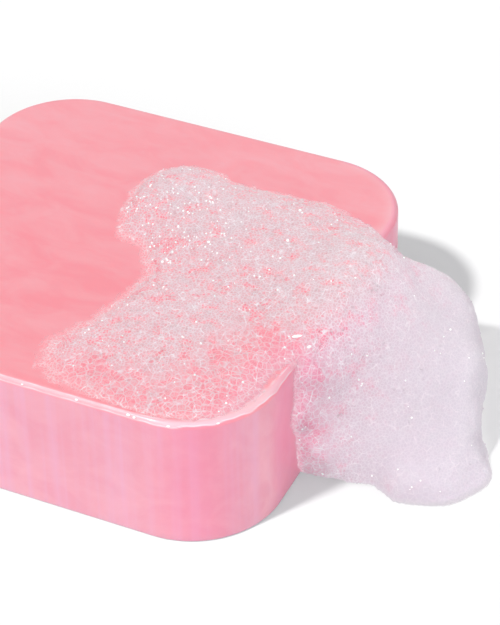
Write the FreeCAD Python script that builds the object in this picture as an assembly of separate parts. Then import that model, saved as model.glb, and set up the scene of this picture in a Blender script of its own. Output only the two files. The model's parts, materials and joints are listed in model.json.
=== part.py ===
"""Shower bar: a moulded square bar of soap with the lather that lies over one of its edges.

Millimetres, +Z up. The origin is the middle of the face that the bar rests on. The lather lies on the
right half of the top, goes over the right edge (+X) and runs down the wall to the surface below.
"""
import FreeCAD, Part
import math
import os
from collections import namedtuple

Vector = FreeCAD.Vector

# The bar
SIDE = 65.0             # across the top, where the moulded bar is widest
HEIGHT = 20.6           # from the face it rests on to the top
CORNER_RADIUS = 13.0    # of the square's four corners, seen from above
DRAFT_ANGLE = 0.25      # degrees that each wall leans out, so that the bar leaves its mould
TOP_EDGE_RADIUS = 0.8   # worn round by water
BASE_EDGE_BEVEL = 0.4   # the poured face keeps a crisper edge

# The lather, as a soft sheet draped over the top and down the right wall
LATHER_LENGTH = 40.0    # of the sheet over the top, from the right edge to the left
LATHER_ROLL = 3.0       # radius with which the sheet turns over the bar's edge
LATHER_STEP = 4.5       # distance between the sheet's points
LATHER_SOFTNESS = 4.0   # distance over which its thickness is evened out
LATHER_BLEND = 0.8      # how sharply one lobe meets the next, per mm
LATHER_HOLD = 2.1       # how deep the sheet dips under the bar's surface outside its lobes
PILE_FRONT_GAP = 6.0    # from where the front corner starts to where the pile on the wall starts
PILE_BACK_RECESS = 1.5  # how far the back corner has fallen away from the wall where the pile ends
PILE_INSET = 12.5       # how far in from the edge the pile's own room starts
PILE_REACH = 32.0       # how far out from the wall it ends
HEADROOM = 12.0         # above the bar's top
CLOSING_ANGLE = 30.0    # degrees from the vertical in which the sheet is closed to a solid
CLOSING_DEPTH = 100.0

EDGE = SIDE / 2.0
WALL_STRAIGHT = EDGE - CORNER_RADIUS    # half the straight stretch of each wall
LEAN = HEIGHT * math.tan(math.radians(DRAFT_ANGLE))
Z_AXIS = Vector(0.0, 0.0, 1.0)
LEVEL = 1e-6            # how far off a height still counts as level with it

# One lobe of lather. Its run is counted along the sheet from the bar's right edge, to the left below 0 and
# down the wall above it. Its place in y is counted from the bar's middle. The higher its power, the flatter
# it is on top and the steeper at its border.
Lobe = namedtuple("Lobe", "run y length width rise power")

LOBES = {
    "back left": Lobe(-29.8, 12.6, 9.2, 8.8, 3.6, 3.0),
    "back band": Lobe(-15.5, 9.0, 16.0, 12.1, 3.6, 4.0),
    "middle": Lobe(-17.0, -9.0, 11.5, 16.0, 2.6, 4.0),
    "front left": Lobe(-19.5, -22.2, 12.6, 10.6, 1.4, 4.0),
    "front right": Lobe(-11.0, -20.0, 12.5, 14.5, 1.4, 5.0),
    "shoulder": Lobe(-1.0, 1.5, 12.0, 14.0, 4.2, 3.0),
    "crown": Lobe(9.0, 7.0, 10.0, 13.0, 14.5, 2.8),
    "front face": Lobe(8.5, -1.6, 12.5, 11.4, 7.0, 4.0),
    "pile": Lobe(HEIGHT - 6.5, 7.4, 14.5, WALL_STRAIGHT - 1.0, 18.8, 2.8),
    "foot": Lobe(HEIGHT, -4.0, 8.6, 10.0, 26.6, 4.0),
}
LOBE_FLOOR = -LATHER_HOLD - math.log(len(LOBES)) / LATHER_BLEND


def rounded_square(half, radius, z):
    """A face: a square with round corners, centred on the axis."""
    middle = half - radius
    edges = []
    for quarter in range(4):
        turn = FreeCAD.Rotation(Z_AXIS, 90.0 * quarter)
        start, end, centre = [
            turn.multVec(Vector(x, y, z))
            for x, y in ((half, -middle), (half, middle), (middle, middle))
        ]
        edges.append(Part.makeLine(start, end))
        edges.append(Part.makeCircle(radius, centre, Z_AXIS, 90.0 * quarter, 90.0 * (quarter + 1)))
    return Part.Face(Part.Wire(edges))


def drafted_cross(along_x):
    """A block with two drafted walls that end where the corners start."""
    base, top = [
        Part.makePolygon([
            Vector(x, y, z) if along_x else Vector(y, x, z)
            for x, y in ((reach, -WALL_STRAIGHT), (reach, WALL_STRAIGHT), (-reach, WALL_STRAIGHT),
                         (-reach, -WALL_STRAIGHT), (reach, -WALL_STRAIGHT))
        ])
        for reach, z in ((EDGE - LEAN, 0.0), (EDGE, HEIGHT))
    ]
    return Part.makeLoft([base, top], True, True)


def rim_edges(solid, z):
    """The edges that lie level at this height."""
    return [edge for edge in solid.Edges if all(abs(vertex.Z - z) < LEVEL for vertex in edge.Vertexes)]


def make_bar():
    """The bar: drafted walls, a cone in each corner, a rounded rim above and a bevelled one below."""
    corners = [
        Part.makeCone(CORNER_RADIUS - LEAN, CORNER_RADIUS, HEIGHT, Vector(x, y, 0.0))
        for x in (-WALL_STRAIGHT, WALL_STRAIGHT)
        for y in (-WALL_STRAIGHT, WALL_STRAIGHT)
    ]
    bar = drafted_cross(True).fuse([drafted_cross(False)] + corners).removeSplitter()
    bar = bar.makeFillet(TOP_EDGE_RADIUS, rim_edges(bar, HEIGHT))
    return bar.makeChamfer(BASE_EDGE_BEVEL, rim_edges(bar, 0.0))


def lobe_thickness(lobe, run, y):
    """The lather's thickness from one lobe alone, below zero outside it."""
    distance = math.hypot((run - lobe.run) / lobe.length, (y - lobe.y) / lobe.width)
    return max(lobe.rise * (1.0 - distance ** lobe.power), LOBE_FLOOR)


def lather_thickness(run, y):
    """The thickness of all lobes, blended softly into each other."""
    run = min(run, HEIGHT)
    total = sum(math.exp(LATHER_BLEND * lobe_thickness(lobe, run, y)) for lobe in LOBES.values())
    return math.log(total) / LATHER_BLEND


def soft_thickness(run, y):
    """The thickness here, averaged with what lies round it."""
    total = 0.0
    for along, along_weight in ((-1, 0.25), (0, 0.5), (1, 0.25)):
        for across, across_weight in ((-1, 0.25), (0, 0.5), (1, 0.25)):
            near = lather_thickness(run + along * LATHER_SOFTNESS, y + across * LATHER_SOFTNESS)
            total += near * along_weight * across_weight
    return total


def lather_point(run, y):
    """A point of the lather's outside: level over the top, turned over the edge, then down the wall."""
    turn_start = EDGE - LATHER_ROLL
    share = min(max((run + LATHER_ROLL) / (2.0 * LATHER_ROLL), 0.0), 1.0)
    angle = share * math.pi / 2.0
    if share == 0.0:
        x, z = EDGE + run, HEIGHT
    elif share == 1.0:
        x, z = EDGE, HEIGHT - run
    else:
        x = turn_start + LATHER_ROLL * math.sin(angle)
        z = HEIGHT - LATHER_ROLL * (1.0 - math.cos(angle))
    thickness = soft_thickness(run, y)
    return Vector(x + thickness * math.sin(angle), y, z + thickness * math.cos(angle))


def spread(start, end, step):
    """Evenly spaced values from start to end, about a step apart."""
    count = max(2, math.ceil((end - start) / step))
    return [start + (end - start) * i / count for i in range(count + 1)]


def lather_room():
    """Where lather can lie: over the flat top, and round the right edge down to the surface below."""
    flat_top = rounded_square(EDGE - TOP_EDGE_RADIUS, CORNER_RADIUS - TOP_EDGE_RADIUS, HEIGHT)
    over_top = flat_top.extrude(Z_AXIS * HEADROOM)
    front = PILE_FRONT_GAP - WALL_STRAIGHT
    back = WALL_STRAIGHT + math.sqrt(CORNER_RADIUS ** 2 - (CORNER_RADIUS - PILE_BACK_RECESS) ** 2)
    corner = Vector(EDGE - PILE_INSET, front, 0.0)
    beside = Part.makeBox(PILE_INSET + PILE_REACH, back - front, HEIGHT + HEADROOM, corner)
    return over_top.fuse(beside)


def make_lather(bar):
    """The lather: everything between its soft outside and what it lies on."""
    runs = spread(-LATHER_LENGTH, HEIGHT + LATHER_STEP, LATHER_STEP)
    rows = spread(-EDGE, EDGE, LATHER_STEP)
    outside = Part.BSplineSurface()
    outside.interpolate([[lather_point(run, y) for y in rows] for run in runs])
    closing = math.radians(CLOSING_ANGLE)
    inward = Vector(-math.sin(closing), 0.0, -math.cos(closing)) * CLOSING_DEPTH
    under_sheet = outside.toShape().extrude(inward)
    lather = under_sheet.common(lather_room()).cut(bar)
    return max(lather.Solids, key=lambda solid: solid.Volume)


def main():
    os.makedirs("parts", exist_ok=True)
    bar = make_bar()
    shapes = {"shower_bar": bar, "lather": make_lather(bar)}
    for name, shape in shapes.items():
        shape.exportStep("parts/" + name + ".step")


main()
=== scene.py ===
"""A square pink shower bar with a run of wet lather over its right edge, on a plain white table."""
import json
import math

import bmesh
import bpy
from mathutils import Matrix, Vector

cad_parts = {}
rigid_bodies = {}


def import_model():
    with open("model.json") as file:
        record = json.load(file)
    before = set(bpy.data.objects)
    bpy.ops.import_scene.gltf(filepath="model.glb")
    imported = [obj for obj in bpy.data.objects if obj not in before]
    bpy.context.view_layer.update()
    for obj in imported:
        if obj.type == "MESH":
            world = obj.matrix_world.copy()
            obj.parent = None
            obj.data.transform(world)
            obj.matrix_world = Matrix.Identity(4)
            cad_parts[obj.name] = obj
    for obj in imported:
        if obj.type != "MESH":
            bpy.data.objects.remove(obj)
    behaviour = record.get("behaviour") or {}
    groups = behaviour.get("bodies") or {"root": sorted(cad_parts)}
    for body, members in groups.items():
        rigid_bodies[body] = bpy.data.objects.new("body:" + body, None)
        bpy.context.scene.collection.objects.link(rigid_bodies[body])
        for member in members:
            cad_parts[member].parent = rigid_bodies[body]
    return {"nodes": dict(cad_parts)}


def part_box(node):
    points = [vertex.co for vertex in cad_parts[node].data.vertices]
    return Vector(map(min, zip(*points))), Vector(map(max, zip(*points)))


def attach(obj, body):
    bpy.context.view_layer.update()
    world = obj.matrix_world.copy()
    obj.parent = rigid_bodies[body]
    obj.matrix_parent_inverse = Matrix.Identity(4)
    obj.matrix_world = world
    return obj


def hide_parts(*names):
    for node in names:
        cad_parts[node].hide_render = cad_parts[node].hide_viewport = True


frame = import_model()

bl_info = {
    "name": "Shower Bar with Lather",
    "version": (1, 0, 0),
    "blender": (4, 5, 0),
    "location": "3D View > Sidebar > Shower Bar",
    "description": "Makes a cast bar of pink soap, the lather over its edge and a plain stage",
    "category": "Add Mesh",
}

MM = 0.001
BAR_LOW, BAR_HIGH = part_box("shower_bar")
BAR_SIDE = BAR_HIGH.x - BAR_LOW.x
BAR_HEIGHT = BAR_HIGH.z
LATHER_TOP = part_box("lather")[1].z


# ---------------------------------------------------------------- helpers

def linear(code):
    """An sRGB hex colour as the linear colour that shaders use."""
    parts = [int(code[k:k + 2], 16) / 255 for k in (1, 3, 5)]
    return tuple(c / 12.92 if c <= 0.04045 else ((c + 0.055) / 1.055) ** 2.4 for c in parts)


def node(tree, kind, inputs=None, **settings):
    """Adds a node. The inputs, by name or number, are plain values or another node's output."""
    made = tree.nodes.new(kind)
    for name, value in settings.items():
        setattr(made, name, value)
    for key, value in (inputs or {}).items():
        if isinstance(value, bpy.types.NodeSocket):
            tree.links.new(value, made.inputs[key])
        else:
            made.inputs[key].default_value = value
    return made


def new_material(name):
    """An empty node-based material and its tree."""
    material = bpy.data.materials.new(name)
    material.use_nodes = True
    material.node_tree.nodes.clear()
    return material, material.node_tree


def geometry_tree(name, sockets):
    """A Geometry Nodes tree with these named inputs, and its input node."""
    tree = bpy.data.node_groups.new(name, "GeometryNodeTree")
    tree.interface.new_socket(name="Geometry", in_out="OUTPUT", socket_type="NodeSocketGeometry")
    tree.interface.new_socket(name="Geometry", in_out="INPUT", socket_type="NodeSocketGeometry")
    for label, kind in sockets.items():
        tree.interface.new_socket(name=label, in_out="INPUT", socket_type="NodeSocket" + kind)
    return tree, node(tree, "NodeGroupInput").outputs


def close_tree(tree, geometry, material):
    """The end of a Geometry Nodes tree: one real mesh in this material."""
    whole = node(tree, "GeometryNodeRealizeInstances", {"Geometry": geometry}).outputs[0]
    done = node(tree, "GeometryNodeSetMaterial", {"Geometry": whole, "Material": material}).outputs[0]
    node(tree, "NodeGroupOutput", {"Geometry": done})
    return tree


def add_tree(obj, tree, values):
    """Puts the tree on an object, with its inputs set before it is first worked out."""
    modifier = obj.modifiers.new(tree.name, "NODES")
    modifier.node_group = tree
    for item in tree.interface.items_tree:
        if item.in_out == "INPUT" and item.name in values:
            modifier[item.identifier] = values[item.name]


def new_object(name, data):
    """An object with this mesh, light or camera, in the scene."""
    obj = bpy.data.objects.new(name, data)
    bpy.context.scene.collection.objects.link(obj)
    return obj


def settle(obj):
    """Turns what the object's modifiers make into its plain mesh, with no empty material slot."""
    graph = bpy.context.evaluated_depsgraph_get()
    made = bpy.data.meshes.new_from_object(
        obj.evaluated_get(graph), preserve_all_data_layers=True, depsgraph=graph)
    made.name = obj.name
    for k in reversed(range(len(made.materials))):
        if made.materials[k] is None:
            made.materials.pop(index=k)
    obj.modifiers.clear()
    obj.data = made


def place(obj, slot, *nodes):
    """The piece rides with the object and stands for these CAD nodes, which are hidden; the slot is not
    used.
    """
    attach(obj, "root")
    if nodes:
        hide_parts(*nodes)


def merged_copy(name, node_name):
    """A copy of a CAD node with its loose triangles joined up."""
    mesh = frame["nodes"][node_name].data.copy()
    shape = bmesh.new()
    shape.from_mesh(mesh)
    bmesh.ops.remove_doubles(shape, verts=shape.verts, dist=0.002 * MM)
    shape.to_mesh(mesh)
    shape.free()
    mesh.materials.clear()
    return new_object(name, mesh)


def spots(tree, position, places):
    """A field that is 1 close to each (x, y, z) and falls to 0 at its radius, all in mm."""
    core = 0.35
    total = None
    for x, y, z, radius in places:
        away = node(tree, "ShaderNodeVectorMath", {
            0: position, 1: (x * MM, y * MM, z * MM)}, operation="DISTANCE").outputs["Value"]
        near = node(tree, "ShaderNodeMapRange", {
            "Value": away, "From Min": radius * MM, "From Max": core * radius * MM},
            interpolation_type="SMOOTHSTEP").outputs[0]
        total = near if total is None else node(tree, "ShaderNodeMath", {
            0: total, 1: near}, operation="MAXIMUM").outputs[0]
    return total


def nudges(tree, position, moves):
    """A field of moves, in mm: (x, y, z, radius) is where, and (dx, dy, dz) is how far its middle goes."""
    total = None
    for x, y, z, radius, dx, dy, dz in moves:
        near = spots(tree, position, ((x, y, z, radius),))
        move = node(tree, "ShaderNodeVectorMath", {
            0: (dx * MM, dy * MM, dz * MM), "Scale": near}, operation="SCALE").outputs[0]
        total = move if total is None else node(tree, "ShaderNodeVectorMath", {
            0: total, 1: move}, operation="ADD").outputs[0]
    return total


def bell(value, middle, width, power=2):
    """1 at the middle, and 1/e at this width from it."""
    return math.exp(-((value - middle) / width) ** power)


def step(value, edge, width):
    """0 well below the edge and 1 well above it, with a soft change of about this width."""
    return 1 / (1 + math.exp(-(value - edge) / width))


# ---------------------------------------------------------------- sizes and colours

class BarSettings(bpy.types.PropertyGroup):
    corner_radius: bpy.props.FloatProperty(
        name="Corner Radius", description="Radius of the bar's upright corners",
        default=13.0 * MM, unit="LENGTH")
    draft: bpy.props.FloatProperty(
        name="Draft", description="Lean of the walls that lets the bar leave its mould",
        default=math.radians(0.25), subtype="ANGLE")
    rim_width: bpy.props.FloatProperty(
        name="Rim Width", description="Width of the softened edge round the top",
        default=0.75 * MM, unit="LENGTH")
    top_colour: bpy.props.FloatVectorProperty(
        name="Top Colour", description="Soap that has been wetted", subtype="COLOR",
        default=linear("#FF99A3"))
    # partly painted sheen: the walls are paler and bluer than the wet top, as slanting reflection of the
    # bright surroundings makes them look
    wall_colour: bpy.props.FloatVectorProperty(
        name="Wall Colour", description="Dry soap as it left the mould", subtype="COLOR",
        default=linear("#EB9DAE"))
    # painted shading: the deeper, more saturated pink of the front corner and the shaded right wall
    painted_shade_colour: bpy.props.FloatVectorProperty(
        name="Deep Colour", description="Soap where the light has gone in deepest", subtype="COLOR",
        default=linear("#FF7DA5"))
    # also the colour of the painted highlight lines along the film's borders
    film_colour: bpy.props.FloatVectorProperty(
        name="Film Colour", description="Thin soapy water along the rim", subtype="COLOR",
        default=linear("#FFE4EA"))


class LatherSettings(bpy.types.PropertyGroup):
    skin_step: bpy.props.FloatProperty(
        name="Skin Step", description="Edge length of the lather's mesh",
        default=0.28 * MM, unit="LENGTH")
    small_bubble: bpy.props.FloatProperty(
        name="Small Bubble", description="Usual width of a bubble in dense lather",
        default=0.46 * MM, unit="LENGTH")
    large_bubble: bpy.props.FloatProperty(
        name="Large Bubble", description="Usual width of a bubble in thin lather",
        default=0.95 * MM, unit="LENGTH")
    foam_colour: bpy.props.FloatVectorProperty(
        name="Foam Colour", description="Deep lather", subtype="COLOR",
        default=linear("#DFD7DF"))
    film_colour: bpy.props.FloatVectorProperty(
        name="Film Colour", description="Lather that lies on the top of the bar", subtype="COLOR",
        default=linear("#D3D2D6"))
    top_tint: bpy.props.FloatVectorProperty(
        name="Top Tint", description="The wet soap that shows through thin lather", subtype="COLOR",
        default=linear("#FF9AA5"))
    side_tint: bpy.props.FloatVectorProperty(
        name="Side Tint", description="The soap that shows through beside the wall", subtype="COLOR",
        default=linear("#F1A0B8"))
    wall_colour: bpy.props.FloatVectorProperty(
        name="Bubble Wall Colour", description="The fine net of bubble walls", subtype="COLOR",
        default=linear("#FBF1F5"))


class StageSettings(bpy.types.PropertyGroup):
    floor_size: bpy.props.FloatProperty(
        name="Floor Size", description="Side of the floor", default=3.0, unit="LENGTH")
    key_strength: bpy.props.FloatProperty(
        name="Key Light", description="Strength of the light from the front left", default=1.80)
    side_strength: bpy.props.FloatProperty(
        name="Side Light", description="Strength of the soft light from the front right", default=0.87)
    sky_strength: bpy.props.FloatProperty(
        name="Fill Light", description="Strength of the even light from all round", default=0.452)
    bounce_power: bpy.props.FloatProperty(
        name="Bounce", description="Power of the light that the lather throws on the wall",
        default=0.0003, precision=5)


# ---------------------------------------------------------------- materials

def soap_material(look):
    """Melt-and-pour soap, cast and wiped wet: light goes a little way in, so it glows softly, with faint
    marbling from the pour, fine drag marks up the walls and a wet gloss."""
    material, tree = new_material("cast_glycerine_soap")
    where = node(tree, "ShaderNodeTexCoord").outputs["Object"]
    wet, film, deep = (
        node(tree, "ShaderNodeAttribute", attribute_name=label).outputs["Fac"]
        for label in ("wet", "film", "deep"))
    # marbling in streaks 4 to 12 mm long
    streaks = node(tree, "ShaderNodeMapping", {
        "Vector": where, "Rotation": (0, 0, 0.5), "Scale": (1, 2.2, 1.6)}).outputs[0]
    marble = node(tree, "ShaderNodeTexNoise", {
        "Vector": streaks, "Scale": 1 / (9 * MM), "Detail": 6.0, "Roughness": 0.62,
        "Distortion": 0.6}).outputs["Fac"]
    marbled = node(tree, "ShaderNodeMapRange", {
        "Value": marble, "From Min": 0.38, "From Max": 0.68, "To Max": 0.24}).outputs[0]
    # the top pales towards the back
    back = node(tree, "ShaderNodeSeparateXYZ", {0: where}).outputs["Y"]
    back = node(tree, "ShaderNodeMapRange", {
        "Value": back, "From Min": -8 * MM, "From Max": 32 * MM, "To Max": 0.16}).outputs[0]
    back = node(tree, "ShaderNodeMath", {0: back, 1: wet}, operation="MULTIPLY").outputs[0]
    marbled = node(tree, "ShaderNodeMath", {0: marbled, 1: back}, operation="ADD").outputs[0]
    # drag marks up the walls, 0.5 to 2 mm apart, a little bluer than the soap
    drag = node(tree, "ShaderNodeMapping", {"Vector": where, "Scale": (1, 1, 0.03)}).outputs[0]
    marks = node(tree, "ShaderNodeTexNoise", {
        "Vector": drag, "Scale": 1 / (1.6 * MM), "Detail": 3.0}).outputs["Fac"]
    dry = node(tree, "ShaderNodeMath", {0: 0.5, 1: wet}, operation="SUBTRACT", use_clamp=True).outputs[0]
    streak = node(tree, "ShaderNodeMapRange", {
        "Value": marks, "From Min": 0.45, "From Max": 0.75}).outputs[0]
    streak = node(tree, "ShaderNodeMath", {0: streak, 1: dry}, operation="MULTIPLY").outputs[0]
    # painted shading: the deeper pink at the front corner and on the shaded right wall
    deep = node(tree, "ShaderNodeMath", {0: deep, 1: 0.42}, operation="MULTIPLY").outputs[0]
    # little of the soap's colour is carried on to what stands round it
    carried = node(tree, "ShaderNodeLightPath").outputs["Is Diffuse Ray"]
    carried = node(tree, "ShaderNodeMath", {0: carried, 1: 0.9}, operation="MULTIPLY").outputs[0]
    # the walls' colour, paler and bluer than the wet top, is partly painted sheen of the bright surroundings
    base = (*look.wall_colour, 1)
    for share, colour in (
            (wet, look.top_colour), (marbled, linear("#FFD0D6")), (streak, linear("#EBB0CE")),
            (deep, look.painted_shade_colour), (film, look.film_colour), (carried, linear("#CFCFCF"))):
        base = node(tree, "ShaderNodeMix", {0: share, 6: base, 7: (*colour, 1)}, data_type="RGBA").outputs[2]
    # the surface wavers slowly, over 7 mm, and the drag marks can just be felt
    waver = node(tree, "ShaderNodeTexNoise", {"Vector": where, "Scale": 1 / (7 * MM)}).outputs["Fac"]
    bump = node(tree, "ShaderNodeBump", {
        "Height": waver, "Strength": 0.12, "Distance": 0.6 * MM}).outputs[0]
    bump = node(tree, "ShaderNodeBump", {
        "Height": marks, "Strength": 0.05, "Distance": 0.05 * MM, "Normal": bump}).outputs[0]
    surface = node(tree, "ShaderNodeBsdfPrincipled", {
        "Base Color": base, "Roughness": 0.42, "IOR": 1.47, "Subsurface Weight": 0.35,
        "Subsurface Radius": (1.0, 0.35, 0.4), "Subsurface Scale": 2.0 * MM, "Coat Weight": 0.25,
        "Coat Roughness": 0.12, "Normal": bump})
    node(tree, "ShaderNodeOutputMaterial", {"Surface": surface.outputs[0]})
    return material


# how far the normals of lather lean upwards, against their own length of 1
UPWARD_LEAN = 1.8
# mm of lather that take away half of the soap's colour
HALF_DEPTH = 3.2
# the lather has the colours of its top above a slanting line, and those of its wall side below: the line's
# rise for each length to the right, and the place where it is level with the bar's top
TURN_RISE, TURN_PLACE = 0.35, 26 * MM


def lit_from_above(tree, lean):
    """The surface's normal leant upwards: light that comes down through lather evens out its shading."""
    facing = node(tree, "ShaderNodeNewGeometry").outputs["Normal"]
    up = node(tree, "ShaderNodeCombineXYZ", {"Z": lean}).outputs[0]
    leant = node(tree, "ShaderNodeVectorMath", {0: facing, 1: up}, operation="ADD").outputs[0]
    return node(tree, "ShaderNodeVectorMath", {0: leant}, operation="NORMALIZE").outputs[0]


def carries_light(tree):
    """1 for a ray that only carries light or shadow, and 0 for a ray that shows a surface."""
    ray = node(tree, "ShaderNodeLightPath").outputs
    return node(tree, "ShaderNodeMath", {
        0: ray["Is Shadow Ray"], 1: ray["Is Diffuse Ray"]}, operation="ADD", use_clamp=True).outputs[0]


def bubble_net(tree, look, where, thin):
    """The net of bubbles, small in dense lather and large in thin: where a wall between two bubbles shows,
    how far a point is from its bubble's middle, and a number of each bubble's own."""
    nets = []
    for size, wall in ((look.small_bubble, 0.16), (look.large_bubble, 0.10)):
        edge = node(tree, "ShaderNodeTexVoronoi", {"Vector": where, "Scale": 1 / size},
                    feature="DISTANCE_TO_EDGE").outputs["Distance"]
        cell = node(tree, "ShaderNodeTexVoronoi", {"Vector": where, "Scale": 1 / size}).outputs
        line = node(tree, "ShaderNodeMapRange", {
            "Value": edge, "From Min": 0.01, "From Max": wall, "To Min": 1.0, "To Max": 0.0}).outputs[0]
        nets.append((line, cell["Distance"], cell["Color"]))
    small, large = nets
    line, middle = (
        node(tree, "ShaderNodeMix", {0: thin, 2: small[k], 3: large[k]}).outputs[0] for k in (0, 1))
    faint = node(tree, "ShaderNodeMath", {0: small[0], 1: 0.45}, operation="MULTIPLY").outputs[0]
    line = node(tree, "ShaderNodeMath", {0: line, 1: faint}, operation="MAXIMUM").outputs[0]
    own = node(tree, "ShaderNodeMix", {0: thin, 6: small[2], 7: large[2]}, data_type="RGBA").outputs[2]
    return line, middle, node(tree, "ShaderNodeSeparateColor", {0: own}).outputs[0]


def soap_tint(tree, where, depth, thin, line, own):
    """How much of the soap's colour shows: less the deeper the lather is, uneven over 2 to 3 mm, strong in
    scattered patches and in a clear bubble here and there, and least in the bubbles' walls."""
    tint = node(tree, "ShaderNodeMath", {0: depth, 1: -1 / HALF_DEPTH}, operation="MULTIPLY").outputs[0]
    tint = node(tree, "ShaderNodeMath", {0: 2.0, 1: tint}, operation="POWER").outputs[0]
    patch = node(tree, "ShaderNodeTexNoise", {
        "Vector": where, "Scale": 1 / (2.6 * MM), "Detail": 3.0, "Roughness": 0.6}).outputs["Fac"]
    uneven = node(tree, "ShaderNodeMapRange", {
        "Value": patch, "From Min": 0.3, "From Max": 0.7, "To Min": 0.65, "To Max": 1.15}).outputs[0]
    strong = node(tree, "ShaderNodeMapRange", {
        "Value": patch, "From Min": 0.56, "From Max": 0.68, "To Max": 0.75}).outputs[0]
    uneven = node(tree, "ShaderNodeMath", {0: uneven, 1: strong}, operation="ADD").outputs[0]
    more = node(tree, "ShaderNodeMath", {0: thin, 1: 0.4, 2: 1.0}, operation="MULTIPLY_ADD").outputs[0]
    tint = node(tree, "ShaderNodeMath", {0: tint, 1: more}, operation="MULTIPLY").outputs[0]
    tint = node(tree, "ShaderNodeMath", {0: tint, 1: uneven}, operation="MULTIPLY").outputs[0]
    chance = node(tree, "ShaderNodeMath", {0: patch, 1: 0.7, 2: own}, operation="MULTIPLY_ADD").outputs[0]
    clear = node(tree, "ShaderNodeMapRange", {
        "Value": chance, "From Min": 1.12, "From Max": 1.25, "To Max": 0.4}).outputs[0]
    clear = node(tree, "ShaderNodeMath", {0: clear, 1: tint}, operation="MULTIPLY").outputs[0]
    tint = node(tree, "ShaderNodeMath", {0: tint, 1: clear}, operation="ADD").outputs[0]
    keep = node(tree, "ShaderNodeMath", {0: line, 1: -0.35, 2: 1.0}, operation="MULTIPLY_ADD").outputs[0]
    return node(tree, "ShaderNodeMath", {0: tint, 1: keep}, operation="MULTIPLY", use_clamp=True).outputs[0]


def net_white(tree, where, depth, line):
    """How white the net shows, with short bright arcs where a larger bubble's wall is seen on edge. Part of
    it is lost in the glow of deep lather."""
    arc = node(tree, "ShaderNodeTexVoronoi", {"Vector": where, "Scale": 1 / (1.5 * MM)},
               feature="DISTANCE_TO_EDGE").outputs["Distance"]
    arc = node(tree, "ShaderNodeMapRange", {
        "Value": arc, "From Min": 0.01, "From Max": 0.06, "To Min": 1.0, "To Max": 0.0}).outputs[0]
    some = node(tree, "ShaderNodeTexNoise", {
        "Vector": where, "Scale": 1 / (1.1 * MM), "Detail": 1.0}).outputs["Fac"]
    some = node(tree, "ShaderNodeMapRange", {"Value": some, "From Min": 0.47, "From Max": 0.62}).outputs[0]
    arc = node(tree, "ShaderNodeMath", {0: arc, 1: some}, operation="MULTIPLY").outputs[0]
    white = node(tree, "ShaderNodeMath", {0: line, 1: 0.48}, operation="MULTIPLY").outputs[0]
    white = node(tree, "ShaderNodeMath", {
        0: arc, 1: 0.55, 2: white}, operation="MULTIPLY_ADD", use_clamp=True).outputs[0]
    seen = node(tree, "ShaderNodeMapRange", {
        "Value": depth, "From Min": 4.0, "From Max": 12.0, "To Min": 1.0, "To Max": 0.55}).outputs[0]
    return node(tree, "ShaderNodeMath", {0: white, 1: seen}, operation="MULTIPLY").outputs[0]


def wholeness(tree, lie, line):
    """How solid the lather looks: its last half millimetre over the bar and the floor opens up, the walls of
    the bubbles last. Light passes right through thin lather, and in part through deep lather."""
    whole = node(tree, "ShaderNodeMapRange", {
        "Value": lie, "From Min": 0.05, "From Max": 0.42}, interpolation_type="SMOOTHSTEP").outputs[0]
    last = node(tree, "ShaderNodeMapRange", {
        "Value": lie, "From Min": 0.03, "From Max": 0.25, "To Max": 0.7}).outputs[0]
    last = node(tree, "ShaderNodeMath", {0: last, 1: line}, operation="MULTIPLY").outputs[0]
    whole = node(tree, "ShaderNodeMath", {0: whole, 1: last}, operation="MAXIMUM").outputs[0]
    stop = node(tree, "ShaderNodeMapRange", {
        "Value": lie, "From Min": 0.4, "From Max": 3.0, "To Max": 0.38}).outputs[0]
    stop = node(tree, "ShaderNodeMath", {0: whole, 1: stop}, operation="MULTIPLY").outputs[0]
    return node(tree, "ShaderNodeMix", {0: carries_light(tree), 2: whole, 3: stop}).outputs[0]


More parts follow.
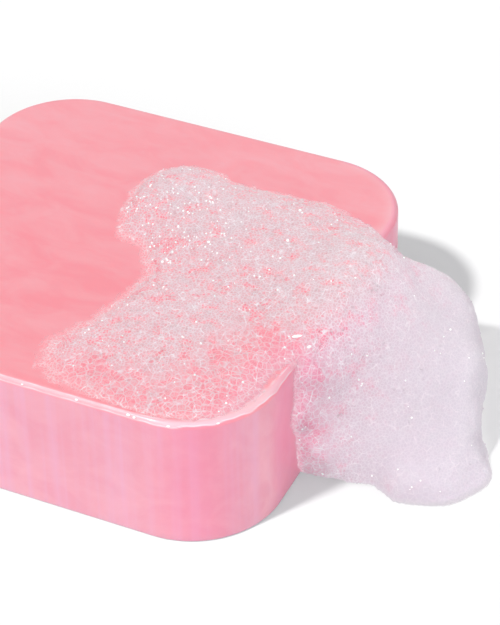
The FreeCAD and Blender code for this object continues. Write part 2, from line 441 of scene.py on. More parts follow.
def lather_material(look, name, inner_light):
    """Lather, whipped from soap and water: a crowd of thin-walled bubbles. Light passes from bubble to
    bubble, so it has hardly any shadow side; the soap tints it where it lies thin, and the walls of the
    bubbles show as a fine pale net. Each loose bubble on it is too small for light of its own inside."""
    material, tree = new_material(name)
    # its glow is shown, but lights nothing
    material.cycles.emission_sampling = "NONE"
    where = node(tree, "ShaderNodeTexCoord").outputs["Object"]
    point = node(tree, "ShaderNodeSeparateXYZ", {0: where}).outputs
    depth, thin = (
        node(tree, "ShaderNodeAttribute", attribute_name=label).outputs["Fac"]
        for label in ("depth", "open"))
    line, middle, own = bubble_net(tree, look, where, thin)
    tint = soap_tint(tree, where, depth, thin, line, own)
    white = net_white(tree, where, depth, line)
    across = node(tree, "ShaderNodeMath", {
        0: point["X"], 1: -TURN_RISE, 2: point["Z"]}, operation="MULTIPLY_ADD").outputs[0]
    level = BAR_HEIGHT - TURN_RISE * TURN_PLACE
    over = node(tree, "ShaderNodeMapRange", {
        "Value": across, "From Min": level - 3.0 * MM, "From Max": level + 1.5 * MM}).outputs[0]
    soap = node(tree, "ShaderNodeMix", {
        0: over, 6: (*look.side_tint, 1), 7: (*look.top_tint, 1)}, data_type="RGBA").outputs[2]
    foam = node(tree, "ShaderNodeMix", {
        0: over, 6: (*look.foam_colour, 1), 7: (*look.film_colour, 1)}, data_type="RGBA").outputs[2]
    base = node(tree, "ShaderNodeMix", {0: tint, 6: foam, 7: soap}, data_type="RGBA").outputs[2]
    base = node(tree, "ShaderNodeMix", {
        0: white, 6: base, 7: (*look.wall_colour, 1)}, data_type="RGBA").outputs[2]
    # how high a point lies over what is under it, the bar or the floor, in mm
    above = node(tree, "ShaderNodeMath", {0: point["Z"], 1: 1 / MM}, operation="MULTIPLY").outputs[0]
    lie = node(tree, "ShaderNodeMath", {0: depth, 1: above}, operation="MINIMUM").outputs[0]
    lean = node(tree, "ShaderNodeMapRange", {
        "Value": lie, "From Min": 0.2, "From Max": 1.2, "To Max": UPWARD_LEAN}).outputs[0]
    crown = node(tree, "ShaderNodeMath", {0: middle, 1: -1.0, 2: 1.0}, operation="MULTIPLY_ADD").outputs[0]
    bump = node(tree, "ShaderNodeBump", {
        "Height": crown, "Strength": 0.4, "Distance": 0.12 * MM,
        "Normal": lit_from_above(tree, lean)}).outputs[0]
    inner = 0.0
    if inner_light:
        inner = node(tree, "ShaderNodeMapRange", {
            "Value": lie, "From Min": 0.3, "From Max": 0.9, "To Max": inner_light}).outputs[0]
    # light goes less far where the lather is too thin to hold it
    reach = node(tree, "ShaderNodeMapRange", {
        "Value": lie, "From Min": 0.3, "From Max": 4.5, "To Min": 0.12 * MM, "To Max": 6.0 * MM}).outputs[0]
    surface = node(tree, "ShaderNodeBsdfPrincipled", {
        "Base Color": base, "Roughness": 0.5, "IOR": 1.33, "Subsurface Weight": inner,
        "Subsurface Radius": (1.0, 0.9, 0.95), "Subsurface Scale": reach, "Normal": bump}).outputs[0]
    # painted light: the thin border glows in the lather's and the bar's colours, as bright as the lit bar
    # whichever way it faces
    by_bar = node(tree, "ShaderNodeMapRange", {
        "Value": depth, "From Min": 0.5, "From Max": 3.0, "To Min": 0.8, "To Max": 0.0}).outputs[0]
    glow = node(tree, "ShaderNodeMix", {0: by_bar, 6: foam, 7: soap}, data_type="RGBA").outputs[2]
    glow = node(tree, "ShaderNodeMix", {
        0: white, 6: glow, 7: (*look.wall_colour, 1)}, data_type="RGBA").outputs[2]
    # painted light and shade: the glow is brighter on the top than on the wall side
    bright = node(tree, "ShaderNodeMapRange", {"Value": over, "To Min": 0.93, "To Max": 1.04}).outputs[0]
    glow = node(tree, "ShaderNodeEmission", {"Color": glow, "Strength": bright}).outputs[0]
    border = node(tree, "ShaderNodeMapRange", {
        "Value": lie, "From Min": 0.25, "From Max": 1.1, "To Min": 1.0, "To Max": 0.0}).outputs[0]
    surface = node(tree, "ShaderNodeMixShader", {0: border, 1: surface, 2: glow}).outputs[0]
    nothing = node(tree, "ShaderNodeBsdfTransparent").outputs[0]
    whole = wholeness(tree, lie, line)
    shown = node(tree, "ShaderNodeMixShader", {0: whole, 1: nothing, 2: surface}).outputs[0]
    node(tree, "ShaderNodeOutputMaterial", {"Surface": shown})
    return material


def glint_material():
    """A painted highlight: a small bead that glows a little, so it shows as a glint of the lamps on wet
    lather; smooth, round and nearly white.
    """
    material, tree = new_material("wet_soap_bead")
    material.cycles.emission_sampling = "NONE"
    where = node(tree, "ShaderNodeTexCoord").outputs["Object"]
    tone = node(tree, "ShaderNodeTexNoise", {"Vector": where, "Scale": 1 / (0.8 * MM)}).outputs["Fac"]
    base = node(tree, "ShaderNodeMix", {
        0: tone, 6: (*linear("#F4F4F4"), 1), 7: (*linear("#E8E2E4"), 1)}, data_type="RGBA").outputs[2]
    # painted highlight: the bead's own glow keeps it nearly white whichever way the light falls
    surface = node(tree, "ShaderNodeBsdfPrincipled", {
        "Base Color": base, "Roughness": 0.1, "IOR": 1.33, "Coat Weight": 1.0, "Coat Roughness": 0.05,
        "Emission Color": (1.0, 0.97, 0.96, 1), "Emission Strength": 0.4,
        "Normal": lit_from_above(tree, UPWARD_LEAN)}).outputs[0]
    # the bead is clear, so it throws no shadow on itself or on the lather
    nothing = node(tree, "ShaderNodeBsdfTransparent").outputs[0]
    through = carries_light(tree)
    shown = node(tree, "ShaderNodeMixShader", {0: through, 1: surface, 2: nothing}).outputs[0]
    node(tree, "ShaderNodeOutputMaterial", {"Surface": shown})
    return material


# ---------------------------------------------------------------- the bar

def bar_section(look):
    """Half of the bar's upright section as (outward, upward) points, from the top round to the base."""
    lean = math.tan(look.draft)
    wide = look.rim_width
    wall_top = BAR_HEIGHT - wide
    rim_start = -lean * BAR_HEIGHT - wide
    hollow = 0.045 * MM
    base_bevel = 0.4 * MM
    points = [(rim_start - k * MM, BAR_HEIGHT) for k in (9, 7, 5, 4, 3, 2.5, 2, 1.5, 1, 0.6, 0.3)]
    for k in range(17):
        turn = math.pi / 2 * k / 16
        # two soft corners with a shallow hollow between them, as a mould's lip leaves
        reach = wide - hollow * math.sin(2 * turn) ** 2
        points.append((rim_start + reach * math.sin(turn), wall_top + reach * math.cos(turn)))
    # the wall, with fine steps under the rim, where the soapy water ends
    for k in range(1, 20):
        z = wall_top - 0.12 * MM * k
        points.append((-lean * z, z))
    fine_end = points[-1][1]
    for k in range(1, 21):
        z = fine_end + (base_bevel - fine_end) * k / 20
        points.append((-lean * z, z))
    for k in range(1, 6):
        turn = math.pi / 2 * k / 5
        points.append((-base_bevel * (1 - math.cos(turn)), base_bevel * (1 - math.sin(turn))))
    return [*points, (-2 * MM, 0.0), (-9 * MM, 0.0)]


def bar_tree():
    """Sweeps the section round a rounded square, then closes the top and the base."""
    tree, given = geometry_tree("bar_sweep", {
        "Side": "Float", "Height": "Float", "Corner Radius": "Float", "Steps Round": "Int",
        "Soap": "Material"})
    square = node(tree, "GeometryNodeCurvePrimitiveQuadrilateral", {
        "Width": given["Side"], "Height": given["Side"]}).outputs[0]
    rounded = node(tree, "GeometryNodeFilletCurve", {
        "Curve": square, "Count": 48, "Radius": given["Corner Radius"]}, mode="POLY").outputs[0]
    path = node(tree, "GeometryNodeResampleCurve", {
        "Curve": rounded, "Count": given["Steps Round"]}).outputs[0]
    section = node(tree, "GeometryNodeMeshToCurve", {"Mesh": given["Geometry"]}).outputs[0]
    wall = node(tree, "GeometryNodeCurveToMesh", {"Curve": path, "Profile Curve": section}).outputs[0]
    # an edge with one face is on the wall's upper or lower border
    faces = node(tree, "GeometryNodeInputMeshEdgeNeighbors").outputs["Face Count"]
    border = node(tree, "FunctionNodeCompare", {2: faces, 3: 1}, data_type="INT",
                  operation="EQUAL").outputs[0]
    position = node(tree, "GeometryNodeInputPosition").outputs[0]
    height = node(tree, "ShaderNodeSeparateXYZ", {0: position}).outputs["Z"]
    half = node(tree, "ShaderNodeMath", {0: given["Height"], 1: 0.5}, operation="MULTIPLY").outputs[0]
    parts = [wall]
    for upper in (True, False):
        side = node(tree, "FunctionNodeCompare", {0: height, 1: half},
                    operation="GREATER_THAN" if upper else "LESS_THAN").outputs[0]
        chosen = node(tree, "FunctionNodeBooleanMath", {0: border, 1: side}, operation="AND").outputs[0]
        ring = node(tree, "GeometryNodeMeshToCurve", {"Mesh": wall, "Selection": chosen}).outputs[0]
        cap = node(tree, "GeometryNodeFillCurve", {"Curve": ring}, mode="NGONS").outputs[0]
        if upper:
            rise = node(tree, "ShaderNodeCombineXYZ", {"Z": given["Height"]}).outputs[0]
            cap = node(tree, "GeometryNodeSetPosition", {"Geometry": cap, "Offset": rise}).outputs[0]
        else:
            cap = node(tree, "GeometryNodeFlipFaces", {"Mesh": cap}).outputs[0]
        parts.append(cap)
    joined = node(tree, "GeometryNodeJoinGeometry")
    for part in reversed(parts):
        tree.links.new(part, joined.inputs[0])
    closed = node(tree, "GeometryNodeMergeByDistance", {
        "Geometry": joined.outputs[0], "Distance": 0.001 * MM}).outputs[0]
    smooth = node(tree, "GeometryNodeSetShadeSmooth", {"Geometry": closed}).outputs[0]
    return close_tree(tree, smooth, given["Soap"])


def rim_film(along, across):
    """How much soapy water clings to the rim beside the lather: a film with a painted highlight along both
    its borders. The places are in mm: along the rim from the middle of the front corner, and across it,
    above 0 on the top and below 0 on the wall."""
    waver = 0.10 * math.sin(along * 1.1) + 0.07 * math.sin(along * 2.3 + 1)
    corner = bell(along, 1, 12, power=4)
    low = -0.42 + 0.4 * corner - 0.3 * bell(along, -8, 4) + waver * (0.4 + corner)
    high = 0.5 + 0.55 * corner + 0.5 * bell(along, 6, 6)
    # the beads are painted highlight lines along the film's two borders
    beads = bell(across, high, 0.10) + bell(across, low, 0.12)
    inside = step(across, low, 0.05) * step(high, across, 0.15)
    length = step(along, -46, 3) * (1 if along < 30 else bell(along, 30, 14))
    clings = inside * (0.25 + 0.35 * corner) + beads * (0.6 + 0.2 * corner) * (0.85 + 2.5 * waver)
    film = length * min(1, clings)
    if along > 30:
        # a broad faint film further along the right side
        film = max(film, 0.25 * bell(across, 0.9, 1.0) * bell(along, 48, 18))
    return film


class SHOWERBAR_OT_bar(bpy.types.Operator):
    """Make the cast bar of soap"""
    bl_idname = "shower_bar.bar"
    bl_label = "Make Bar"

    def execute(self, context):
        look = context.scene.shower_bar_bar
        points = bar_section(look)
        mesh = bpy.data.meshes.new("bar")
        # the sweep lays a section's Y downwards
        mesh.from_pydata([(x, -z, 0) for x, z in points], [(k, k + 1) for k in range(len(points) - 1)], [])
        obj = new_object("bar", mesh)
        add_tree(obj, bar_tree(), {
            "Side": BAR_SIDE, "Height": BAR_HEIGHT, "Corner Radius": look.corner_radius,
            "Steps Round": 480, "Soap": soap_material(look)})
        settle(obj)
        self.wet_rim(obj.data, look)
        place(obj, "soap", "shower_bar")
        return {"FINISHED"}

    def wet_rim(self, mesh, look):
        """Stores how wet each point is, how much painted shading deepens its pink, and how much soapy water,
        with its painted highlight lines, clings there.
        """
        radius = look.corner_radius
        core = BAR_SIDE / 2 - radius
        arc = radius * math.pi / 4
        wet, deep, film = ([0.0] * len(mesh.vertices) for _ in range(3))
        for k, vertex in enumerate(mesh.vertices):
            x, y, z = vertex.co
            inset = radius - math.hypot(max(abs(x) - core, 0), max(abs(y) - core, 0))
            below = BAR_HEIGHT - z
            # the top is wet, down to 0.5 mm under it
            wet[k] = min(1, max(0, 1 - (below - 0.5 * MM) / (0.4 * MM)))
            # painted shading: the wall's pink deepens in the middle of the front corner, and all along the
            # shaded right side
            if x > core - 6 * MM and y < core and abs(y) > core - 6 * MM and inset < 1 * MM:
                turn = math.degrees(math.atan2(x - core, abs(y) - core))
                deep[k] = 0.75 * bell(turn, 30, 26) + step(turn, 84, 3)
            elif x > core and inset < 1 * MM:
                deep[k] = 1.0
            # the soapy water stays within 4 mm of the rim, along the front and the right side
            if below > 4 * MM or inset > 4 * MM or (x < core and y > 0):
                continue
            if x < core:
                along = x - core - arc
            elif y > -core:
                along = y + core + arc
            else:
                along = (math.atan2(x - core, -core - y) - math.pi / 4) * radius
            film[k] = rim_film(along / MM, (inset - below) / MM)
        for name, values in (("wet", wet), ("deep", deep), ("film", film)):
            mesh.attributes.new(name, "FLOAT", "POINT").data.foreach_set("value", values)


# ---------------------------------------------------------------- the lather

# where the lather lies thin and its bubbles are large, in mm: x, y, z, radius
OPEN_PLACES = ((28.5, -18.0, 22.0, 10.5), (24.0, -27.0, 21.8, 8.0), (15.0, -29.0, 21.8, 5.5),
               (7.5, -27.5, 21.5, 4.5), (34.0, -12.5, 17.0, 5.0), (33.5, -13.5, 11.0, 6.0),
               (33.5, -13.5, 5.0, 6.0), (48.0, -11.0, 0.5, 6.0))
# where points of light are thickest
SPARKLE_PLACES = ((4.5, 6.0, 23.5, 12.0), (9.5, 2.0, 23.8, 8.0))
# where the body sits differently from its plain solid, in mm: x, y, z, radius, then the move
MOVES = ((4.5, 1.5, 21.0, 7.0, -1.6, -1.0, 0.0), (-1.0, 5.0, 21.4, 6.5, -1.5, -0.2, 0.0),
         (3.4, -26.0, 21.0, 9.0, -2.5, -1.0, 0.0), (42.0, 16.5, 14.5, 9.0, 0.7, 1.1, 1.0),
         (0.0, 18.5, 21.5, 8.0, 0.0, 1.2, 0.0), (26.0, 17.5, 21.5, 8.0, 0.4, 1.1, 0.0),
         (34.0, 22.0, 17.0, 9.0, 0.0, -1.9, -2.1), (50.0, -10.0, 0.5, 8.0, -0.2, -2.1, 0.0),
         (36.0, -14.0, 0.0, 14.0, 0.0, 0.9, 0.6), (57.5, -3.0, 2.0, 7.0, -1.15, 0.0, 0.0),
         (52.3, 4.6, 8.2, 7.75, 1.15, 0.55, 0.3), (-0.2, 2.8, 20.6, 4.5, -1.2, -0.6, 0.0),
         (32.8, -13.2, 16.5, 9.0, -0.1, -1.8, 0.0), (32.8, -13.2, 7.0, 9.0, -0.1, -1.8, 0.0))
# painted highlights, as glowing beads on the lather and along the bar's rim: x, y, z, length and width in
# mm, and turn in degrees
LATHER_GLINTS = ((31.2, -10.8, 22.4, 1.5, 0.45, 35), (33.0, -11.0, 21.3, 0.7, 0.4, 60),
                 (20.6, 14.0, 23.8, 0.5, 0.5, 0), (22.3, 6.0, 24.5, 0.45, 0.45, 0),
                 (7.1, -2.7, 22.0, 0.4, 0.4, 0), (12.0, 2.0, 23.8, 0.45, 0.4, 20))
RIM_GLINTS = ((9.1, -32.1, 20.2, 0.5, 0.3, 0), (16.7, -32.1, 20.2, 0.6, 0.35, 5),
              (17.6, -32.1, 20.1, 0.45, 0.35, 0), (22.4, -31.9, 20.1, 0.55, 0.3, 15),
              (28.0, -28.8, 20.1, 0.5, 0.25, 45), (1.0, -32.2, 20.2, 0.4, 0.2, 0))


def seat_tree():
    """Settles the body on the bar and the floor: the border thins out, and the foot spreads."""
    tree, given = geometry_tree("lather_seat", {"Bar": "Object", "Lather": "Material"})
    position = node(tree, "GeometryNodeInputPosition").outputs[0]
    normal = node(tree, "GeometryNodeInputNormal").outputs[0]
    bar = node(tree, "GeometryNodeObjectInfo", {"Object": given["Bar"]}).outputs["Geometry"]
    near = node(tree, "GeometryNodeProximity", {0: bar}).outputs
    height = node(tree, "ShaderNodeSeparateXYZ", {0: position}).outputs["Z"]
    shift = nudges(tree, position, MOVES)
    kept = node(tree, "GeometryNodeSetPosition", {
        "Geometry": given["Geometry"], "Offset": shift}).outputs[0]
    # the border on the bar is ragged, by some tenths of a millimetre
    ragged = node(tree, "ShaderNodeTexNoise", {
        "Vector": position, "Scale": 1 / (1.3 * MM), "Detail": 1.0}).outputs["Color"]
    ragged = node(tree, "ShaderNodeVectorMath", {
        0: ragged, 1: (-0.5, -0.5, -0.5)}, operation="ADD").outputs[0]
    border = node(tree, "ShaderNodeMapRange", {
        "Value": near["Distance"], "From Min": 0.2 * MM, "From Max": 1.3 * MM, "To Min": 1.7 * MM,
        "To Max": 0.0}).outputs[0]
    ragged = node(tree, "ShaderNodeVectorMath", {0: ragged, "Scale": border}, operation="SCALE").outputs[0]
    kept = node(tree, "GeometryNodeSetPosition", {"Geometry": kept, "Offset": ragged}).outputs[0]
    # the last 1.5 mm over the bar lie down on it
    share = node(tree, "ShaderNodeMapRange", {
        "Value": near["Distance"], "From Max": 1.5 * MM, "To Min": 0.3}).outputs[0]
    thinned = node(tree, "ShaderNodeMix", {
        0: share, 4: near["Position"], 5: position}, data_type="VECTOR").outputs[1]
    kept = node(tree, "GeometryNodeSetPosition", {"Geometry": kept, "Position": thinned}).outputs[0]
    # the foot spreads on the floor, and nothing sinks into the floor
    flare = node(tree, "ShaderNodeMapRange", {
        "Value": height, "From Min": 0.2 * MM, "From Max": 1.6 * MM, "To Min": 0.35 * MM,
        "To Max": 0.0}).outputs[0]
    level = node(tree, "ShaderNodeVectorMath", {
        0: normal, 1: (1.0, 1.0, 0.0)}, operation="MULTIPLY").outputs[0]
    spread = node(tree, "ShaderNodeVectorMath", {0: level, "Scale": flare}, operation="SCALE").outputs[0]
    kept = node(tree, "GeometryNodeSetPosition", {"Geometry": kept, "Offset": spread}).outputs[0]
    floored = node(tree, "ShaderNodeVectorMath", {
        0: position, 1: (-1.0, -1.0, 0.0)}, operation="MAXIMUM").outputs[0]
    kept = node(tree, "GeometryNodeSetPosition", {"Geometry": kept, "Position": floored}).outputs[0]
    return close_tree(tree, kept, given["Lather"])


def skin_tree():
    """Raises a dome for each large bubble over the lather, and stores how deep the lather is, where it is
    thin and open, and how free each point is of the bar and the floor."""
    tree, given = geometry_tree("lather_skin", {
        "Bar": "Object", "Large Bubble": "Float", "Dome Height": "Float", "Swell": "Float",
        "Lather": "Material"})
    position = node(tree, "GeometryNodeInputPosition").outputs[0]
    normal = node(tree, "GeometryNodeInputNormal").outputs[0]
    bar = node(tree, "GeometryNodeObjectInfo", {"Object": given["Bar"]}).outputs["Geometry"]
    away = node(tree, "GeometryNodeProximity", {0: bar}).outputs["Distance"]
    height = node(tree, "ShaderNodeSeparateXYZ", {0: position}).outputs["Z"]
    free = node(tree, "ShaderNodeMapRange", {
        "Value": away, "From Min": 0.1 * MM, "From Max": 0.7 * MM},
        interpolation_type="SMOOTHSTEP").outputs[0]
    lifted = node(tree, "ShaderNodeMapRange", {
        "Value": height, "From Min": 0.1 * MM, "From Max": 0.6 * MM},
        interpolation_type="SMOOTHSTEP").outputs[0]
    free = node(tree, "ShaderNodeMath", {0: free, 1: lifted}, operation="MULTIPLY").outputs[0]
    thin = spots(tree, position, OPEN_PLACES)
    depth = node(tree, "ShaderNodeMath", {0: away, 1: 1 / MM}, operation="MULTIPLY").outputs[0]
    kept = given["Geometry"]
    for name, value in (("depth", depth), ("open", thin), ("free", free)):
        kept = node(tree, "GeometryNodeStoreNamedAttribute",
                    {"Geometry": kept, "Name": name, "Value": value}).outputs[0]
    per_metre = node(tree, "ShaderNodeMath", {
        0: 1.0, 1: given["Large Bubble"]}, operation="DIVIDE").outputs[0]
    bubble = node(tree, "ShaderNodeTexVoronoi", {"Vector": position, "Scale": per_metre})
    # each dome is the top of a ball, in shares of a bubble's width, sunk by about its usual height
    middle = bubble.outputs["Distance"]
    square = node(tree, "ShaderNodeMath", {0: middle, 1: middle}, operation="MULTIPLY").outputs[0]
    under = node(tree, "ShaderNodeMath", {0: 0.45, 1: square}, operation="SUBTRACT").outputs[0]
    under = node(tree, "ShaderNodeMath", {0: under, 1: 0.0}, operation="MAXIMUM").outputs[0]
    dome = node(tree, "ShaderNodeMath", {0: under}, operation="SQRT").outputs[0]
    dome = node(tree, "ShaderNodeMath", {0: dome, 1: -0.55}, operation="ADD").outputs[0]
    dome = node(tree, "ShaderNodeMath", {0: dome, 1: given["Dome Height"]}, operation="MULTIPLY").outputs[0]
    # the whole skin swells and sinks slowly, more often inwards
    lumps = node(tree, "ShaderNodeTexNoise", {
        "Vector": position, "Scale": 1 / (4.5 * MM), "Detail": 3.0}).outputs["Fac"]
    lumps = node(tree, "ShaderNodeMath", {0: lumps, 1: -0.6}, operation="ADD").outputs[0]
    lumps = node(tree, "ShaderNodeMath", {0: lumps, 1: given["Swell"]}, operation="MULTIPLY").outputs[0]
    rise = node(tree, "ShaderNodeMath", {0: dome, 1: lumps}, operation="ADD").outputs[0]
    rise = node(tree, "ShaderNodeMath", {0: rise, 1: free}, operation="MULTIPLY").outputs[0]
    offset = node(tree, "ShaderNodeVectorMath", {0: normal, "Scale": rise}, operation="SCALE").outputs[0]
    moved = node(tree, "GeometryNodeSetPosition", {"Geometry": kept, "Offset": offset}).outputs[0]
    smooth = node(tree, "GeometryNodeSetShadeSmooth", {"Geometry": moved}).outputs[0]
    return close_tree(tree, smooth, given["Lather"])


class SHOWERBAR_OT_lather(bpy.types.Operator):
    """Make the body of the lather, with its skin of bubbles"""
    bl_idname = "shower_bar.lather"
    bl_label = "Make Lather"

    def execute(self, context):
        look = context.scene.shower_bar_lather
        lather = lather_material(look, "whipped_soap_lather", inner_light=1.0)
        obj = merged_copy("lather_body", "lather")
        remesh = obj.modifiers.new("even_mesh", "REMESH")
        remesh.mode = "VOXEL"
        remesh.voxel_size = look.skin_step
        add_tree(obj, seat_tree(), {"Bar": frame["nodes"]["shower_bar"], "Lather": lather})
        soften = obj.modifiers.new("soften", "SMOOTH")
        soften.factor = 0.5
        soften.iterations = 8
        add_tree(obj, skin_tree(), {
            "Bar": frame["nodes"]["shower_bar"], "Large Bubble": look.large_bubble,
            "Dome Height": 0.15 * MM, "Swell": 0.5 * MM, "Lather": lather})
        settle(obj)
        place(obj, "lather", "lather")
        return {"FINISHED"}


def bubble_tree():
    """Scatters small balls over the lather, half sunk in it: thickest in the sparkling places, and fewer
    where the lather is deep, near what it lies on and at its very top."""
    tree, given = geometry_tree("bubbles", {
        "Count per Square Metre": "Float", "Share Elsewhere": "Float", "Share When Deep": "Float",
        "Smallest": "Float", "Largest": "Float", "Seed": "Int", "Bubble": "Material"})
    position = node(tree, "GeometryNodeInputPosition").outputs[0]
    free, depth, thin = (
        node(tree, "GeometryNodeInputNamedAttribute", {"Name": name}).outputs["Attribute"]
        for name in ("free", "depth", "open"))
    crowd = spots(tree, position, SPARKLE_PLACES)
    crowd = node(tree, "ShaderNodeMapRange", {
        "Value": crowd, "To Min": given["Share Elsewhere"]}).outputs[0]
    height = node(tree, "ShaderNodeSeparateXYZ", {0: position}).outputs["Z"]
    room = node(tree, "FunctionNodeCompare", {0: height, 1: LATHER_TOP - 0.4 * MM}, operation="LESS_THAN")
    free = node(tree, "ShaderNodeMath", {0: free, 1: room.outputs[0]}, operation="MULTIPLY").outputs[0]
    share = node(tree, "ShaderNodeMath", {0: crowd, 1: free}, operation="MULTIPLY").outputs[0]
    lost = node(tree, "ShaderNodeMapRange", {
        "Value": depth, "From Min": 4.0, "From Max": 9.0, "To Min": 1.0,
        "To Max": given["Share When Deep"]}).outputs[0]
    share = node(tree, "ShaderNodeMath", {0: share, 1: lost}, operation="MULTIPLY").outputs[0]
    density = node(tree, "ShaderNodeMath", {
        0: share, 1: given["Count per Square Metre"]}, operation="MULTIPLY").outputs[0]
    points = node(tree, "GeometryNodeDistributePointsOnFaces", {
        "Mesh": given["Geometry"], "Density": density, "Seed": given["Seed"]}).outputs["Points"]
    ball = node(tree, "GeometryNodeMeshIcoSphere", {"Radius": 1.0, "Subdivisions": 2}).outputs[0]
    ball = node(tree, "GeometryNodeSetShadeSmooth", {"Geometry": ball}).outputs[0]
    size = node(tree, "FunctionNodeRandomValue", {
        2: given["Smallest"], 3: given["Largest"], "Seed": given["Seed"]}, data_type="FLOAT").outputs[1]
    many = node(tree, "GeometryNodeInstanceOnPoints", {
        "Points": points, "Instance": ball, "Scale": size}).outputs[0]
    for name, value in (("depth", depth), ("open", thin)):
        many = node(tree, "GeometryNodeStoreNamedAttribute",
                    {"Geometry": many, "Name": name, "Value": value}, domain="INSTANCE").outputs[0]
    return close_tree(tree, many, given["Bubble"])


class SHOWERBAR_OT_bubbles(bpy.types.Operator):
    """Scatter small bubbles over the lather"""
    bl_idname = "shower_bar.bubbles"
    bl_label = "Add Bubbles"

    def execute(self, context):
        look = context.scene.shower_bar_lather
        obj = new_object("lather_bubbles", bpy.data.objects["lather_body"].data.copy())
        add_tree(obj, bubble_tree(), {
            "Count per Square Metre": 0.7e6, "Share Elsewhere": 1.0, "Share When Deep": 0.1,
            "Smallest": 0.08 * MM, "Largest": 0.20 * MM, "Seed": 2,
            "Bubble": lather_material(look, "lather_bubble", inner_light=0.0)})
        settle(obj)
        place(obj, "lather")
        return {"FINISHED"}


def add_beads(obj, base, places):
    """Adds flattened beads to the object, each set on the nearest point of the base."""
    bpy.context.view_layer.update()
    shape = bmesh.new()
    shape.from_mesh(obj.data)
    for x, y, z, length, width, turn in places:
        spot = base.closest_point_on_mesh((x * MM, y * MM, z * MM))[1]
        size = Matrix.Diagonal((length * MM / 2, width * MM / 2, width * MM / 2, 1))
        made = bmesh.ops.create_icosphere(
            shape, subdivisions=2, radius=1.0,
            matrix=Matrix.Translation(spot) @ Matrix.Rotation(math.radians(turn), 4, "Z") @ size)
        for face in {face for vertex in made["verts"] for face in vertex.link_faces}:
            face.smooth = True
    shape.to_mesh(obj.data)
    shape.free()


class SHOWERBAR_OT_glints(bpy.types.Operator):
    """Scatter wet points of light over the lather"""
    bl_idname = "shower_bar.glints"
    bl_label = "Add Glints"

    def execute(self, context):
        obj = new_object("lather_glints", bpy.data.objects["lather_body"].data.copy())
        add_tree(obj, bubble_tree(), {
            "Count per Square Metre": 0.5e6, "Share Elsewhere": 0.12, "Share When Deep": 0.5,
            "Smallest": 0.08 * MM, "Largest": 0.17 * MM, "Seed": 4, "Bubble": glint_material()})
        settle(obj)
        add_beads(obj, bpy.data.objects["lather_body"], LATHER_GLINTS)
        add_beads(obj, bpy.data.objects["bar"], RIM_GLINTS)
        place(obj, "lather")
        return {"FINISHED"}


# ---------------------------------------------------------------- the stage

CAMERA_PLACE = (140.24 * MM, -252.82 * MM, 234.15 * MM)
CAMERA_AZIMUTH, CAMERA_ELEVATION, CAMERA_ROLL = 25.594, 38.027, -1.1
CAMERA_LENS, SENSOR_WIDTH = 146.4, 36.0
# the ways that light runs from the lamps: from the front left, from the front right and from behind
KEY_COURSE, SIDE_COURSE, BACK_COURSE = (0.31, 0.51, -0.80), (-0.52, 0.45, -0.41), (-0.55, -0.35, -0.75)
# the lather's own key and back light, as shares of the key light
LATHER_KEY_SHARE, LATHER_BACK_SHARE = 0.68, 0.39
# the light that the pile of lather throws back on the bar's right wall, in mm
BOUNCE_PLACE, BOUNCE_COURSE, BOUNCE_SIZE = (45.0, -23.0, 11.0), (-0.88, 0.47, 0.0), 14


def floor_material():
    """A matt white table: it shows white wherever the lamps reach it, and keeps the object's shadow."""
    material, tree = new_material("matt_white_table")
    ray = node(tree, "ShaderNodeLightPath").outputs
    seen = node(tree, "ShaderNodeMath", {
        0: ray["Is Camera Ray"], 1: ray["Is Glossy Ray"]}, operation="ADD").outputs[0]
    seen = node(tree, "ShaderNodeMath", {
        0: seen, 1: ray["Is Transmission Ray"]}, operation="ADD", use_clamp=True).outputs[0]
    plain = node(tree, "ShaderNodeBsdfDiffuse", {"Color": (*linear("#EDEDED"), 1)}).outputs[0]
    white = node(tree, "ShaderNodeBsdfDiffuse", {"Color": (0.985, 0.985, 0.975, 1)}).outputs[0]
    shown = node(tree, "ShaderNodeMixShader", {0: seen, 1: plain, 2: white}).outputs[0]
    node(tree, "ShaderNodeOutputMaterial", {"Surface": shown})
    return material


def new_lamp(name, kind, course, receivers, blockers):
    """A lamp that shines along the course, lights only the receivers and is blocked only by the blockers.
    None stands for everything."""
    lamp = new_object(name, bpy.data.lights.new(name, kind))
    lamp.rotation_mode = "QUATERNION"
    lamp.rotation_quaternion = Vector(course).to_track_quat("-Z", "Y")
    lamp.light_linking.receiver_collection = receivers
    lamp.light_linking.blocker_collection = blockers
    return lamp


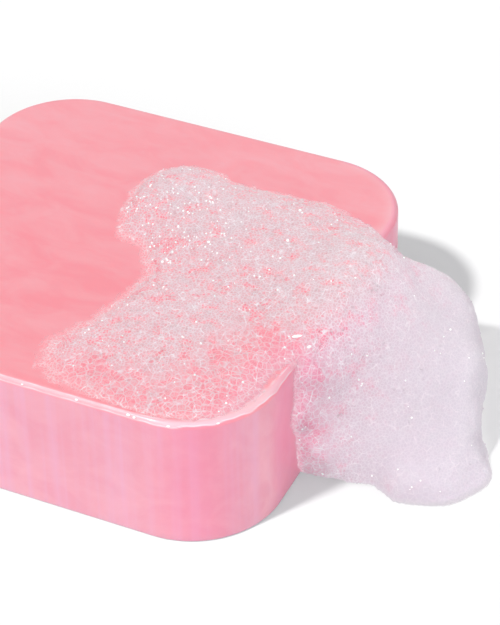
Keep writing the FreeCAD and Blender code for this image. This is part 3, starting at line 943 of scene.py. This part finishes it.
class SHOWERBAR_OT_stage(bpy.types.Operator):
    """Make the floor, the lights and the camera"""
    bl_idname = "shower_bar.stage"
    bl_label = "Set Stage"

    def execute(self, context):
        look = context.scene.shower_bar_stage
        self.lay_floor(look)
        self.hang_lamps(context.scene, look)
        self.light_sky(context.scene, look)
        self.set_camera(context.scene)
        context.scene.view_settings.view_transform = "Standard"
        return {"FINISHED"}

    def lay_floor(self, look):
        half = look.floor_size / 2
        mesh = bpy.data.meshes.new("floor")
        corners = [(-half, -half, 0), (half, -half, 0), (half, half, 0), (-half, half, 0)]
        mesh.from_pydata(corners, [], [(0, 1, 2, 3)])
        mesh.materials.append(floor_material())
        new_object("floor", mesh)

    def hang_lamps(self, scene, look):
        """Light runs through lather from bubble to bubble, so the bar throws no edge of shadow on it, and
        the lather lights the wall beside it. The lather has suns of its own, which only lather blocks, and
        a small lamp in front of it lights the bar alone."""
        foam = bpy.data.collections.new("lather_lit")
        rest = bpy.data.collections.new("all_else_lit")
        for piece in scene.objects:
            if piece.type == "MESH" and not piece.hide_render:
                (foam if piece.name in ("lather_body", "lather_bubbles") else rest).objects.link(piece)
        key, side = look.key_strength, look.side_strength
        # name, what it lights and what blocks it, strength, width in degrees, course, colour
        suns = (("key", rest, None, key, 5, KEY_COURSE, "#FFFFFF"),
                ("lather_key", foam, foam, LATHER_KEY_SHARE * key, 5, KEY_COURSE, "#FFFFFF"),
                ("lather_back", foam, foam, LATHER_BACK_SHARE * key, 40, BACK_COURSE, "#FFFFFF"),
                ("side", None, None, side, 35, SIDE_COURSE, "#F2F3FF"))
        for name, lit, blockers, strength, width, course, colour in suns:
            sun = new_lamp(name, "SUN", course, lit, blockers).data
            sun.energy = strength
            sun.angle = math.radians(width)
            sun.color = linear(colour)
        bar_only = bpy.data.collections.new("bar_lit")
        bar_only.objects.link(bpy.data.objects["bar"])
        bounce = new_lamp("lather_bounce", "AREA", BOUNCE_COURSE, bar_only, bar_only)
        bounce.location = Vector(BOUNCE_PLACE) * MM
        bounce.data.energy = look.bounce_power
        bounce.data.size = BOUNCE_SIZE * MM
        bounce.visible_camera = False

    def light_sky(self, scene, look):
        """An even light from all round, which is seen as plain white."""
        world = bpy.data.worlds.new("studio")
        scene.world = world
        world.use_nodes = True
        tree = world.node_tree
        tree.nodes.clear()
        ray = node(tree, "ShaderNodeLightPath").outputs
        seen = node(tree, "ShaderNodeMath", {
            0: ray["Is Camera Ray"], 1: ray["Is Transmission Ray"]}, operation="ADD",
            use_clamp=True).outputs[0]
        fill, white = (
            node(tree, "ShaderNodeBackground", {"Color": (1, 1, 1, 1), "Strength": strength}).outputs[0]
            for strength in (look.sky_strength, 1.0))
        shown = node(tree, "ShaderNodeMixShader", {0: seen, 1: fill, 2: white}).outputs[0]
        node(tree, "ShaderNodeOutputWorld", {"Surface": shown})

    def set_camera(self, scene):
        turn, lift = math.radians(CAMERA_AZIMUTH), math.radians(CAMERA_ELEVATION)
        roll = math.radians(CAMERA_ROLL)
        back = Vector((math.sin(turn) * math.cos(lift), -math.cos(turn) * math.cos(lift), math.sin(lift)))
        level = Vector((math.cos(turn), math.sin(turn), 0))
        upright = back.cross(level)
        right = math.cos(roll) * level + math.sin(roll) * upright
        up = -math.sin(roll) * level + math.cos(roll) * upright
        camera = bpy.data.cameras.new("camera")
        camera.lens = CAMERA_LENS
        camera.sensor_width = SENSOR_WIDTH
        camera.clip_start, camera.clip_end = 0.01, 10.0
        viewer = new_object("camera", camera)
        facing = Matrix((right, up, back)).transposed().to_4x4()
        viewer.matrix_world = Matrix.Translation(CAMERA_PLACE) @ facing
        scene.camera = viewer


class SHOWERBAR_PT_panel(bpy.types.Panel):
    bl_idname = "SHOWERBAR_PT_panel"
    bl_label = "Shower Bar"
    bl_space_type = "VIEW_3D"
    bl_region_type = "UI"
    bl_category = "Shower Bar"

    def draw(self, context):
        for name, *operators in (
                ("shower_bar_bar", "shower_bar.bar"),
                ("shower_bar_lather", "shower_bar.lather", "shower_bar.bubbles", "shower_bar.glints"),
                ("shower_bar_stage", "shower_bar.stage")):
            box = self.layout.box()
            settings = getattr(context.scene, name)
            for value in settings.__annotations__:
                box.prop(settings, value)
            for operator in operators:
                box.operator(operator)


SETTINGS = {"shower_bar_bar": BarSettings, "shower_bar_lather": LatherSettings,
            "shower_bar_stage": StageSettings}
CLASSES = (*SETTINGS.values(), SHOWERBAR_OT_bar, SHOWERBAR_OT_lather, SHOWERBAR_OT_bubbles,
           SHOWERBAR_OT_glints, SHOWERBAR_OT_stage, SHOWERBAR_PT_panel)


def register():
    for kind in CLASSES:
        bpy.utils.register_class(kind)
    for name, kind in SETTINGS.items():
        setattr(bpy.types.Scene, name, bpy.props.PointerProperty(type=kind))


def unregister():
    for name in SETTINGS:
        delattr(bpy.types.Scene, name)
    for kind in reversed(CLASSES):
        bpy.utils.unregister_class(kind)


def main():
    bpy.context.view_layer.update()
    register()
    bpy.ops.shower_bar.bar()
    bpy.ops.shower_bar.lather()
    bpy.ops.shower_bar.bubbles()
    bpy.ops.shower_bar.glints()
    bpy.ops.shower_bar.stage()


if __name__ == "__main__":
    main()
